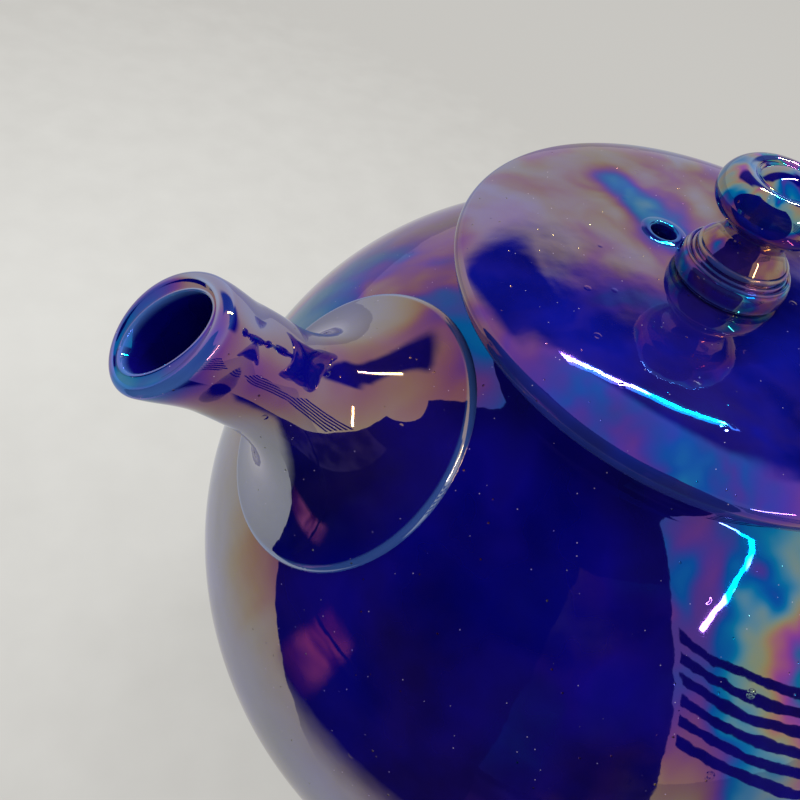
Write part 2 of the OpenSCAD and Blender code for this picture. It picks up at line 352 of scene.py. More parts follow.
@dataclass(frozen=True)
class LustreGlaze:
    """A gloss cobalt glaze under a fired film of metal oxide, in purple, gold, teal and pearl bands.

    The glass is deep and mirror-smooth, so that the eye sees the room in it. The film is a fraction of a
    light wave thick, and its colour turns with its thickness. The glaze thins and pales over edges.

    The film's bands set in over film_heights, and the film itself over film_foot, both in mm above the
    foot. Values below the foot mean that they are there all over. The convexities of edge_bends, in 1/m,
    are where the glaze starts to thin and where it is thinnest.
    """

    name: str = "cobalt_lustre_glaze"
    flow: Flow = Flow.POOLED
    deep: str = "#020254"
    full: str = "#050584"
    thin: str = "#4f7cc4"
    bloom: str = "#4a2f5e"
    pit: str = "#04040b"
    fleck: str = "#b9a8cf"
    bloom_share: float = 0.3
    cloud_mm: float = 21.0
    gloss_rough: float = 0.03
    pit_rough: float = 0.4
    film_nm: Point = (72.0, 150.0)
    film_heights: Point = (-2.0, -1.0)
    film_foot: Point = (-2.0, -1.0)
    foot_share: float = 0.12
    edge_loss_nm: float = 25.0
    film_index: float = 2.3
    glass_index: float = 1.5
    band_mm: float = 34.0
    curl_mm: float = 11.0
    curl_push: float = 0.9
    offset: Place = (0.0, 0.0, 0.0)
    edge_share: float = 0.75
    edge_bends: Point = (120.0, 540.0)
    halos: tuple[Halo, ...] = ()
    halo_wander: float = 0.7
    relief_mm: tuple[Point, ...] = ((17.0, 0.12), (6.0, 0.048), (2.4, 0.006), (1.1, 0.0016))
    pit_spacing_mm: float = 3.0
    pit_radius_mm: float = 0.19
    pit_depth_mm: float = 0.03
    crater_spacing_mm: float = 7.0
    crater_radius_mm: float = 0.5
    crater_rim_mm: float = 0.015
    fleck_spacing_mm: float = 1.9
    fleck_radius_mm: float = 0.1

    def material(self) -> bpy.types.Material:
        """Builds the node tree.

        Returns:
            The finished material.
        """
        made, tree = new_material(self.name)
        at = add_node(tree, "TexCoord").outputs["Object"]
        band = self.band_pattern(tree, at)
        edge = self.edge_mask(tree)
        pits = self.dots(tree, at, self.pit_spacing_mm, self.pit_radius_mm)
        flecks = self.dots(tree, at, self.fleck_spacing_mm, self.fleck_radius_mm)
        gloss = add_node(tree, "MapRange", {"Value": pits, "To Min": self.gloss_rough,
                                            "To Max": self.pit_rough})
        shader = add_node(tree, "BsdfPrincipled", {
            "Base Color": self.base_colour(tree, at, band, edge, pits, flecks),
            "Roughness": gloss.outputs["Result"], "IOR": self.glass_index,
            "Thin Film Thickness": self.film(tree, at, band, edge), "Thin Film IOR": self.film_index,
            "Normal": self.relief(tree, at, pits)})
        add_node(tree, "OutputMaterial", {"Surface": shader.outputs["BSDF"]})
        return made

    def band_pattern(self, tree: Tree, at: Socket) -> Socket:
        """Adds the slow bands of the film's thickness, curled as the glaze flowed.

        Args:
            tree: The material's tree.
            at: Object coordinates.

        Returns:
            The socket of the pattern, 0 to 1.
        """
        run = add_node(tree, "Mapping", {"Vector": at, "Location": self.offset, "Scale": self.flow.value})
        curl = add_node(tree, "TexNoise", {"Vector": run.outputs["Vector"], "Scale": per_size(self.curl_mm),
                                           "Detail": 2.0, "Roughness": 0.45})
        pushed = add_node(tree, "VectorMath", {0: curl.outputs["Color"], 1: (0.5, 0.5, 0.5)},
                          operation="SUBTRACT")
        push = self.curl_push * self.curl_mm * MM
        scaled = add_node(tree, "VectorMath", {0: pushed.outputs["Vector"], "Scale": push}, operation="SCALE")
        moved = add_node(tree, "VectorMath", {0: run.outputs["Vector"], 1: scaled.outputs["Vector"]},
                         operation="ADD")
        slow = add_node(tree, "TexNoise", {"Vector": moved.outputs["Vector"], "Scale": per_size(self.band_mm),
                                           "Detail": 2.5, "Roughness": 0.5, "Distortion": 0.6})
        whole = add_node(tree, "MapRange", {"Value": slow.outputs["Fac"], "From Min": 0.3, "From Max": 0.7})
        return whole.outputs["Result"]

    def film(self, tree: Tree, at: Socket, band: Socket, edge: Socket) -> Socket:
        """Adds the film's thickness in nanometres: bands that fade out below, halos and thin edges.

        Args:
            tree: The material's tree.
            at: Object coordinates.
            band: The slow bands.
            edge: Mask of the thin edges.

        Returns:
            The thickness's socket.
        """
        low, high = self.film_nm
        height = add_node(tree, "SeparateXYZ", {"Vector": at}).outputs["Z"]
        fumed = add_node(tree, "MapRange", {"Value": height, "From Min": self.film_heights[0] * MM,
                                            "From Max": self.film_heights[1] * MM},
                         interpolation_type="SMOOTHSTEP").outputs["Result"]
        share = add_node(tree, "Math", {0: band, 1: fumed}, operation="MULTIPLY").outputs["Value"]
        total = add_node(tree, "MapRange", {"Value": share, "To Min": low, "To Max": high}).outputs["Result"]
        total = add_node(tree, "Math", {0: edge, 1: -self.edge_loss_nm, 2: total},
                         operation="MULTIPLY_ADD").outputs["Value"]
        kept = add_node(tree, "MapRange", {"Value": height, "From Min": self.film_foot[0] * MM,
                                           "From Max": self.film_foot[1] * MM, "To Min": self.foot_share},
                        interpolation_type="SMOOTHSTEP").outputs["Result"]
        total = add_node(tree, "Math", {0: total, 1: kept}, operation="MULTIPLY").outputs["Value"]
        wander = add_node(tree, "TexNoise", {"Vector": at, "Scale": per_size(self.curl_mm), "Detail": 2.0})
        for halo in self.halos:
            centre = tuple((c - 0.5 * self.halo_wander * halo.reach) * MM for c in halo.centre)
            moved = add_node(tree, "VectorMath", {0: wander.outputs["Color"],
                                                  "Scale": -self.halo_wander * halo.reach * MM},
                             operation="SCALE")
            spot = add_node(tree, "VectorMath", {0: at, 1: moved.outputs["Vector"]}, operation="ADD")
            far = add_node(tree, "VectorMath", {0: spot.outputs["Vector"], 1: centre}, operation="DISTANCE")
            near = add_node(tree, "MapRange", {"Value": far.outputs["Value"], "From Max": halo.reach * MM,
                                               "To Min": halo.extra_nm, "To Max": 0.0},
                            interpolation_type="SMOOTHSTEP").outputs["Result"]
            total = add_node(tree, "Math", {0: total, 1: near}, operation="ADD").outputs["Value"]
        return total

    def edge_mask(self, tree: Tree) -> Socket:
        """Adds the mask of the edges where the glaze is thin, from the piece's own convexity.

        Args:
            tree: The material's tree.

        Returns:
            The mask's socket, 0 to 1.
        """
        bulge = add_node(tree, "Attribute", attribute_name="convexity")
        mask = add_node(tree, "MapRange", {"Value": bulge.outputs["Fac"], "From Min": self.edge_bends[0],
                                           "From Max": self.edge_bends[1], "To Max": self.edge_share},
                        interpolation_type="SMOOTHSTEP")
        return mask.outputs["Result"]

    def dots(self, tree: Tree, at: Socket, spacing: float, radius: float) -> Socket:
        """Adds a mask of scattered dots, such as pinholes.

        Args:
            tree: The material's tree.
            at: Object coordinates.
            spacing: Mean distance between dots in mm.
            radius: Their radius in mm.

        Returns:
            The mask's socket, 1 in a dot.
        """
        points = add_node(tree, "TexVoronoi", {"Vector": at, "Scale": per_size(spacing), "Randomness": 1.0})
        share = radius / spacing
        mask = add_node(tree, "MapRange", {"Value": points.outputs["Distance"], "From Min": share * 0.5,
                                           "From Max": share, "To Min": 1.0, "To Max": 0.0})
        return mask.outputs["Result"]

    def crater_rims(self, tree: Tree, at: Socket) -> Socket:
        """Adds the mask of the small raised rings that burst bubbles leave.

        Args:
            tree: The material's tree.
            at: Object coordinates.

        Returns:
            The mask's socket, 1 on a ring.
        """
        rings = add_node(tree, "TexVoronoi", {"Vector": at, "Scale": per_size(self.crater_spacing_mm)})
        radius = self.crater_radius_mm / self.crater_spacing_mm
        off = add_node(tree, "Math", {0: rings.outputs["Distance"], 1: radius}, operation="SUBTRACT")
        far = add_node(tree, "Math", {0: off.outputs["Value"]}, operation="ABSOLUTE")
        rim = add_node(tree, "MapRange", {"Value": far.outputs["Value"], "From Max": radius * 0.6,
                                          "To Min": 1.0, "To Max": 0.0}, interpolation_type="SMOOTHSTEP")
        return rim.outputs["Result"]

    def base_colour(self, tree: Tree, at: Socket, band: Socket, edge: Socket, pits: Socket,
                    flecks: Socket) -> Socket:
        """Adds the glass's own colour: cobalt, a violet bloom, pale edges, dark pinholes and pale flecks.

        Args:
            tree: The material's tree.
            at: Object coordinates.
            band: The film's pattern.
            edge: Mask of the thin edges.
            pits: Mask of the pinholes.
            flecks: Mask of the metallic flecks.

        Returns:
            The colour's socket.
        """
        cloud = add_node(tree, "TexNoise", {"Vector": at, "Scale": per_size(self.cloud_mm), "Detail": 4.0})
        body = ramp(tree, cloud.outputs["Fac"], ((0.35, self.deep), (0.65, self.full))).outputs["Color"]
        tint = add_node(tree, "MapRange", {"Value": band, "From Min": 0.35, "From Max": 0.8,
                                           "To Min": 0.0, "To Max": self.bloom_share}).outputs["Result"]
        for mask, code in ((tint, self.bloom), (edge, self.thin), (pits, self.pit), (flecks, self.fleck)):
            mixed = add_node(tree, "Mix", {"Factor": mask, 6: body, 7: colour(code)}, data_type="RGBA")
            body = mixed.outputs[2]
        return body

    def relief(self, tree: Tree, at: Socket, pits: Socket) -> Socket:
        """Adds the surface's relief: waves of throwing, orange peel, pits and crater rims.

        Args:
            tree: The material's tree.
            at: Object coordinates.
            pits: Mask of the pinholes.

        Returns:
            The normal's socket.
        """
        parts = []
        for size, height in self.relief_mm:
            wave = add_node(tree, "TexNoise", {"Vector": at, "Scale": per_size(size), "Detail": 1.5})
            parts.append((wave.outputs["Fac"], height))
        parts += [(pits, -self.pit_depth_mm), (self.crater_rims(tree, at), self.crater_rim_mm)]
        total: SocketValue = 0.0
        for source, height in parts:
            total = add_node(tree, "Math", {0: source, 1: height * MM, 2: total},
                             operation="MULTIPLY_ADD").outputs["Value"]
        bump = add_node(tree, "Bump", {"Height": total, "Distance": 1.0, "Strength": 1.0})
        return bump.outputs["Normal"]


@dataclass(frozen=True)
class BareClay:
    """Fired stoneware without glaze: the dry, buff, gritty face that the pot stood on in the kiln."""

    name: str = "unglazed_stoneware"
    light: str = "#b9a285"
    dark: str = "#8f7458"
    grit_mm: float = 0.7

    def material(self) -> bpy.types.Material:
        """Builds the node tree.

        Returns:
            The finished material.
        """
        made, tree = new_material(self.name)
        at = add_node(tree, "TexCoord").outputs["Object"]
        grit = add_node(tree, "TexNoise", {"Vector": at, "Scale": per_size(self.grit_mm), "Detail": 4.0})
        body = ramp(tree, grit.outputs["Fac"], ((0.35, self.dark), (0.6, self.light)))
        bump = add_node(tree, "Bump", {"Height": grit.outputs["Fac"], "Distance": 0.05 * MM})
        shader = add_node(tree, "BsdfPrincipled", {"Base Color": body.outputs["Color"], "Roughness": 0.85,
                                                   "Normal": bump.outputs["Normal"]})
        add_node(tree, "OutputMaterial", {"Surface": shader.outputs["BSDF"]})
        return made


@dataclass(frozen=True)
class StudioPaper:
    """Matt seamless paper: pale, a little warm, with a faint mottle, and lighter round one place.

    Its lighter place is a painted pool of light, with painted shade further off. Camera and reflections see
    it partly self-lit, and from below it is clear. Sizes in mm.
    """

    name: str = "studio_paper"
    # light is the paper inside the painted pool of light, shade is the painted shade outside it
    light: str = "#dddcd7"
    shade: str = "#c3c1bc"
    pool_of_light_at: Place = (-110.0, 130.0, 0.0)
    pool_of_light_reach: float = 330.0
    mottle_mm: float = 14.0
    mottle_share: float = 0.3
    self_lit: float = 0.8

    def material(self) -> bpy.types.Material:
        """Builds the node tree.

        Returns:
            The finished material.
        """
        made, tree = new_material(self.name)
        at = add_node(tree, "TexCoord").outputs["Object"]
        mottle = add_node(tree, "TexNoise", {"Vector": at, "Scale": per_size(self.mottle_mm), "Detail": 4.0})
        # painted pool of light: the colour runs from light round one place to painted shade further off, and
        # the self-lit share shows it too
        centre = tuple(c * MM for c in self.pool_of_light_at)
        far = add_node(tree, "VectorMath", {0: at, 1: centre}, operation="DISTANCE")
        fade = add_node(tree, "MapRange", {"Value": far.outputs["Value"], "From Max": self.pool_of_light_reach * MM})
        mixed = add_node(tree, "Math", {0: mottle.outputs["Fac"], 1: self.mottle_share,
                                        2: fade.outputs["Result"]}, operation="MULTIPLY_ADD").outputs["Value"]
        body = ramp(tree, mixed, ((0.15, self.light), (0.95, self.shade))).outputs["Color"]
        matt = add_node(tree, "BsdfPrincipled", {"Base Color": body, "Roughness": 0.9,
                                                 "Specular IOR Level": 0.2})
        pale = add_node(tree, "Emission", {"Color": body, "Strength": 1.0})
        path = add_node(tree, "LightPath")
        seen = add_node(tree, "Math", {0: path.outputs["Is Camera Ray"], 1: path.outputs["Is Glossy Ray"]},
                        operation="MAXIMUM")
        share = add_node(tree, "Math", {0: seen.outputs["Value"], 1: self.self_lit}, operation="MULTIPLY")
        both = add_node(tree, "MixShader", {"Fac": share.outputs["Value"], 1: matt.outputs["BSDF"],
                                            2: pale.outputs["Emission"]})
        behind = add_node(tree, "NewGeometry").outputs["Backfacing"]
        clear = add_node(tree, "BsdfTransparent").outputs["BSDF"]
        faced = add_node(tree, "MixShader", {"Fac": behind, 1: both.outputs["Shader"], 2: clear})
        add_node(tree, "OutputMaterial", {"Surface": faced.outputs["Shader"]})
        return made


# --- the teapot's pieces --------------------------------------------------------------------------


@dataclass
class Belly:
    """The oval that the pot is thrown to, which spout and handle are luted on. Sizes in mm."""

    radius: float = 75.0
    half_height: float = 69.6
    middle: float = 64.0

    def point(self, turn: float, inset: float = 0.0) -> Point:
        """Gives the radius and height at an angle of the ellipse in degrees, moved inwards by inset."""
        a = math.radians(turn)
        return ((self.radius - inset) * math.cos(a), self.middle + (self.half_height - inset) * math.sin(a))

    def run(self, start: float, end: float, steps: int, inset: float = 0.0) -> list[Point]:
        """Gives the oval's points from one angle to another."""
        return [self.point(start + (end - start) * i / steps, inset) for i in range(steps + 1)]

    def turn_at(self, radius: float, inset: float = 0.0) -> float:
        """Gives the angle, above the widest line, at which the oval has this radius."""
        return math.degrees(math.acos(radius / (self.radius - inset)))

    def turn_at_height(self, height: float, inset: float = 0.0) -> float:
        """Gives the angle at which the oval has this height."""
        return math.degrees(math.asin((height - self.middle) / (self.half_height - inset)))

    def depth(self, place: Vector, inset: float = 0.0) -> float:
        """Gives a value under 0 inside the oval and over 0 outside, for a place in mm."""
        across = math.hypot(place.x, place.y) / (self.radius - inset)
        return math.hypot(across, (place.z - self.middle) / (self.half_height - inset)) - 1.0


class Piece:
    """A luted or loose piece of the teapot: builds its mesh, takes a finish and rides on its body."""

    name: str
    node: str
    body: str
    slot: str

    def build(self) -> bpy.types.Object:
        """Models the piece. Each sub-class has its own way."""
        raise NotImplementedError

    def glaze(self) -> LustreGlaze:
        """Gives the piece's glaze. Each sub-class has its own."""
        raise NotImplementedError

    def dress(self, piece: bpy.types.Object, finishes: Sequence[bpy.types.Material]) -> None:
        """Smooths a piece, marks its convexity, gives it its materials, puts it on its body and hides its CAD
        part.

        Args:
            piece: The modelled piece.
            finishes: Its materials, in the order of its slots.
        """
        make_active(piece)
        bpy.ops.object.shade_smooth_by_angle(angle=SMOOTH_BELOW)
        mark_convexity(piece)
        piece.data.materials.clear()
        for finish in finishes:
            piece.data.materials.append(finish)
        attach(piece, self.body)
        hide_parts(self.node)


@dataclass
class Pot(Piece):
    """The thrown pot: belly, collar with the lid's seat, floor, turned foot and the strainer. Sizes in mm."""

    belly: Belly
    seat: float
    name: str = "glazed_pot"
    node: str = "pot"
    body: str = "pot"
    slot: str = "pot_glaze"
    wall: float = 4.5
    floor: float = 8.0
    floor_round: float = 9.0
    mouth: float = 31.0
    collar: float = 36.5
    collar_round: float = 1.1
    neck_round: float = 2.4
    foot: float = 40.0
    foot_face: float = 5.5
    foot_hollow: float = 3.0
    foot_bevel: float = 0.8
    inner_steps: int = 56
    outer_steps: int = 120
    segments: int = 256

    def profile(self) -> list[Point]:
        """Gives the outline from the floor's middle, over the mouth and down to the foot's hollow.

        Returns:
            Radius and height of each point, in mm.
        """
        belly, wall, edge = self.belly, self.wall, self.collar_round
        wall_foot = belly.turn_at_height(self.floor + self.floor_round, wall)
        inner_top = belly.turn_at(self.mouth, wall)
        wall_start = belly.point(wall_foot, wall)
        flat_end = wall_start[0] - self.floor_round
        points = [(0.0, self.floor)] + [(flat_end * i / 5, self.floor) for i in range(1, 5)]
        points += soft_corner((flat_end, self.floor), (wall_start[0] - 3.0, self.floor), wall_start)
        points += belly.run(wall_foot, inner_top, self.inner_steps, wall)[1:]
        points += arc((self.mouth + edge, self.seat - edge), edge, 180, 90, 5)
        points += arc((self.collar - edge, self.seat - edge), edge, 90, 0, 6)
        outer_top = belly.turn_at(self.collar + self.neck_round)
        neck_end = belly.point(outer_top)
        neck_corner = (self.collar, belly.point(belly.turn_at(self.collar))[1])
        points += soft_corner((self.collar, neck_corner[1] + self.neck_round), neck_corner, neck_end)
        outer_low = -belly.turn_at(self.foot + self.neck_round)
        points += belly.run(outer_top, outer_low, self.outer_steps)[1:]
        foot_corner = (self.foot, belly.point(-belly.turn_at(self.foot))[1])
        points += soft_corner(points[-1], foot_corner, (self.foot, foot_corner[1] - self.neck_round))[1:]
        points += [(self.foot, self.foot_bevel), (self.foot - self.foot_bevel, 0.0)]
        inner = self.foot - self.foot_face
        points += [(inner + self.foot_bevel, 0.0), (inner, self.foot_bevel)]
        points += soft_corner((inner, self.foot_hollow - 1.2), (inner, self.foot_hollow),
                              (inner - 1.2, self.foot_hollow))
        points += [(inner * i / 4, self.foot_hollow) for i in (3, 2, 1, 0)]
        return points

    def glaze(self) -> LustreGlaze:
        """Gives the pot's glaze: lustre that gathered on the shoulder, ran down and fades to the foot."""
        return LustreGlaze("pot_lustre_glaze", Flow.RUNNING, bloom_share=0.1, film_nm=(64.0, 160.0),
                           film_heights=(54.0, 116.0), film_foot=(20.0, 70.0),
                           halos=(Halo((12.0, -55.0, 108.0), 34.0, 250.0),
                                  Halo((-52.0, 28.0, 107.0), 30.0, 46.0)))

    def build(self) -> bpy.types.Object:
        """Turns the pot. Its strainer is drilled afterwards."""
        return turned(self.name, self.profile(), self.segments)

    def bare_foot(self, piece: bpy.types.Object) -> None:
        """Gives the faces that stood on the kiln shelf the second material.

        Args:
            piece: The turned pot.
        """
        for face in piece.data.polygons:
            if face.center.z < 0.45 * self.foot_bevel * MM and face.normal.z < -0.5:
                face.material_index = 1


@dataclass
class Spout(Piece):
    """The spout: a flared foot luted on the belly, a gently bent pipe and an oblique mouth with a rolled lip.

    It is turned straight and then warped: the pipe bends and the mouth tilts. Sizes in mm, and heights
    run along the spout's own axis from the belly's skin.
    """

    belly: Belly
    name: str = "glazed_spout"
    node: str = "spout"
    body: str = "pot"
    slot: str = "spout_glaze"
    belly_turn: float = 39.7
    rise: float = 41.6
    flare_end: float = 16.4
    flare_wide: float = 19.4
    flare_long: float = 19.6
    flare_edge: float = 22.4
    edge_roll: float = 1.4
    pipe: float = 8.6
    bend_radius: float = 66.0
    bend_turn: float = 14.2
    mouth_faces: float = 50.0
    lip: float = 9.5
    lip_roll: float = 1.25
    hole: float = 6.15
    passage: float = 6.3
    passage_root: float = 15.5
    taper: float = 4.0
    groove: float = 0.35
    sunk: float = 1.3
    flare_steps: int = 48
    pipe_steps: int = 32
    segments: int = 160

    def axis(self) -> tuple[Vector, Vector]:
        """Gives the spout's own up (its +X) and forward (its +Z) directions."""
        a = math.radians(self.rise)
        return Vector((math.sin(a), 0.0, math.cos(a))), Vector((-math.cos(a), 0.0, math.sin(a)))

    def place(self, local: Vector) -> Vector:
        """Turns a place in the spout's own frame, in mm, to one in the row's frame, in mm.

        Args:
            local: The place in the spout's own frame.

        Returns:
            The place in the row's frame.
        """
        up, forward = self.axis()
        out, height = self.belly.point(self.belly_turn)
        return Vector((-out, 0.0, height)) + up * local.x + Vector((0, local.y, 0)) + forward * local.z

    def mouth_at(self) -> float:
        """Gives the mouth's distance from the root along the axis."""
        return self.flare_end + self.bend_radius * math.radians(self.bend_turn)

    def skin(self, radius: float) -> float:
        """Gives the height of the belly's skin at a distance from the spout's axis."""
        return -radius * radius / (2.0 * self.belly.half_height + 3.0)

    def foot_curve(self) -> list[Point]:
        """Gives the outline from the buried root over the rolled edge and up the flare to the pipe.

        Returns:
            Distance from the spout's axis and height of each point, in mm.
        """
        centre = self.pipe + self.flare_wide
        end = math.acos((centre - self.flare_edge) / self.flare_wide)
        tangent = Vector((self.flare_wide * math.sin(end), -self.flare_long * math.cos(end))).normalized()
        tip = Vector((self.flare_edge, self.flare_end - self.flare_long * math.sin(end)))
        roll = tip - self.edge_roll * Vector((-tangent.y, tangent.x))
        top = math.degrees(math.atan2(tangent.x, -tangent.y))
        points = [(self.flare_edge, self.skin(self.flare_edge) - self.sunk - 0.6)]
        points += arc((roll.x, roll.y), self.edge_roll, -45, top, 12)
        for i in range(1, self.flare_steps + 1):
            a = end * (1 - i / self.flare_steps)
            points.append((centre - self.flare_wide * math.cos(a),
                           self.flare_end - self.flare_long * math.sin(a)))
        return points

    def profile(self) -> list[Point]:
        """Gives the straight blank's outline, from the buried root round to the passage.

        Returns:
            Distance from the spout's axis and height of each point, in mm.
        """
        lip_at = self.mouth_at() - self.lip_roll
        points = [(self.passage_root, self.skin(self.passage_root) - self.sunk)] + self.foot_curve()
        for i in range(1, self.pipe_steps + 1):
            t = i / self.pipe_steps
            swell = (self.lip - self.pipe) * soft_step(t, 0.45, 1.0)
            points.append((self.pipe + swell, self.flare_end + (lip_at - self.flare_end) * t))
        points += arc((self.lip - self.lip_roll, lip_at), self.lip_roll, 12, 112, 10)
        ledge = self.lip - 2 * self.lip_roll
        points += [(ledge, lip_at + 0.72 * self.lip_roll),
                   (ledge - self.groove, lip_at + 0.74 * self.lip_roll)]
        points += arc((self.hole + self.groove, lip_at + 0.5 * self.lip_roll), self.groove, 90, 180, 5)
        wider = self.passage - self.hole
        points += [(self.hole + wider * i / 4, lip_at - self.taper * i / 4) for i in range(1, 5)]
        straight = lip_at - self.taper - self.flare_end
        points += [(self.passage, self.flare_end + straight * (1 - i / 6)) for i in range(1, 7)]
        low = (self.passage_root, self.skin(self.passage_root) + 0.4)
        points += soft_corner((self.passage, self.flare_end), (self.passage, 4.0), low, 8)[1:]
        return points

    def shape(self, blank: Vector) -> Vector:
        """Gives a blank point's place on the finished spout.

        Args:
            blank: The point on the straight blank, in metres.

        Returns:
            Its place in the row's frame, in metres.
        """
        x, y, z = (c / MM for c in blank)
        near = soft_step(z, self.flare_end, self.mouth_at())
        inside = 1 - soft_step(math.hypot(x, y), self.hole + 0.4, self.lip - self.lip_roll)
        x *= 1 + near * (0.1 * inside - 0.05 * (1 - inside))
        y *= 1 - near * 0.1 * inside
        tilt = math.radians(self.mouth_faces - (self.rise - self.bend_turn))
        z -= math.tan(tilt) * x * near
        if z > self.flare_end:
            turn = (z - self.flare_end) / self.bend_radius
            out = self.bend_radius + x
            x, z = out * math.cos(turn) - self.bend_radius, self.flare_end + out * math.sin(turn)
        return self.place(Vector((x, y, z))) * MM

    def glaze(self) -> LustreGlaze:
        """Gives the spout's glaze: plain cobalt at the flare and lustre along the pipe."""
        return LustreGlaze("spout_lustre_glaze", bloom_share=0.1, film_nm=(58.0, 184.0),
                           film_heights=(109.0, 134.0), halos=(Halo((-83.5, 0.0, 127.0), 20.0, 55.0),),
                           offset=(0.05, 0.0, 0.0))

    def build(self) -> bpy.types.Object:
        """Turns the straight blank, closes it and warps it.

        Returns:
            The spout in its place.
        """
        profile = self.profile()
        piece = turned(self.name, profile + profile[:1], self.segments)
        warp(piece, self.shape)
        clean_shell(piece)
        return piece


@dataclass
class Handle(Piece):
    """The pulled strap handle: an oval section in two bends, wider where it is luted on. Sizes in mm."""

    belly: Belly
    name: str = "glazed_handle"
    node: str = "handle"
    body: str = "pot"
    slot: str = "handle_glaze"
    top_radius: float = 30.0
    low_radius: float = 57.0
    top_out: float = 80.0
    middle: float = 86.0
    thick: float = 9.0
    wide: float = 15.0
    swell_thick: float = 0.95
    swell_wide: float = 0.55
    swell_reach: float = 11.0
    sunk: float = 1.4
    stations: int = 44
    segments: int = 64

    def bend(self, upper: bool) -> tuple[float, float]:
        """Gives one bend's radius and the distance of its centre from the pot's axis.

        Args:
            upper: Whether it is the upper bend.

        Returns:
            The radius and the distance, in mm.
        """
        if upper:
            return self.top_radius, self.top_out
        return self.low_radius, self.top_out + self.top_radius - self.low_radius

    def spot(self, upper: bool, turn: float, across: float, side: float) -> Vector:
        """Gives a place on a bend.

        Args:
            upper: Whether it lies on the upper bend.
            turn: Angle from the outermost point, in radians.
            across: Distance outwards from the strap's middle line.
            side: Distance to the side.

        Returns:
            The place in mm.
        """
        radius, centre = self.bend(upper)
        up = 1.0 if upper else -1.0
        out = radius + across
        return Vector((centre + out * math.cos(turn), side, self.middle + up * out * math.sin(turn)))

    def end_turn(self, upper: bool, across: float, side: float) -> float:
        """Gives the angle at which a line of the strap runs into the pot's wall.

        Args:
            upper: Whether it lies on the upper bend.
            across: The line's distance outwards from the strap's middle line, in mm.
            side: Its distance to the side, in mm.

        Returns:
            The angle from the outermost point, in radians.
        """
        low, high = 0.4, 2.8
        for _ in range(28):
            guess = (low + high) / 2
            if self.belly.depth(self.spot(upper, guess, across, side), self.sunk) > 0:
                low = guess
            else:
                high = guess
        return low

    def shape(self, blank: Vector) -> Vector:
        """Gives a blank point's place on the finished strap.

        Args:
            blank: The point on the straight blank. Its height, from -1 to 1, says where along the strap
                it lies.

        Returns:
            Its place in metres.
        """
        share, round_turn = blank.z, math.atan2(blank.y, blank.x)
        upper = share >= 0
        across, side = math.cos(round_turn) * self.thick / 2, math.sin(round_turn) * self.wide / 2
        spread = (1 + self.swell_thick, 1 + self.swell_wide)
        end = self.end_turn(upper, across * spread[0], side * spread[1])
        turn = end * abs(share)
        left = (end - turn) * self.bend(upper)[0]
        swell = 1 - soft_step(left, -1.0, self.swell_reach)
        return self.spot(upper, turn, across * (1 + self.swell_thick * swell),
                         side * (1 + self.swell_wide * swell)) * MM

    def glaze(self) -> LustreGlaze:
        """Gives the handle's glaze."""
        return LustreGlaze("handle_lustre_glaze")

    def build(self) -> bpy.types.Object:
        """Extrudes a straight blank of many stations and warps it to the two bends.

        Returns:
            The handle in its place.
        """
        deselect_all()
        bpy.ops.mesh.primitive_circle_add(vertices=self.segments, radius=0.1, fill_type="NGON",
                                          location=(0, 0, -1))
        piece = bpy.context.active_object
        settle(piece, self.name)
        bpy.ops.object.mode_set(mode="EDIT")
        bpy.ops.mesh.select_all(action="SELECT")
        for _ in range(2 * self.stations):
            bpy.ops.mesh.extrude_region_move(TRANSFORM_OT_translate={"value": (0, 0, 1 / self.stations)})
        bpy.ops.object.mode_set(mode="OBJECT")
        warp(piece, self.shape)
        clean_shell(piece)
        return piece


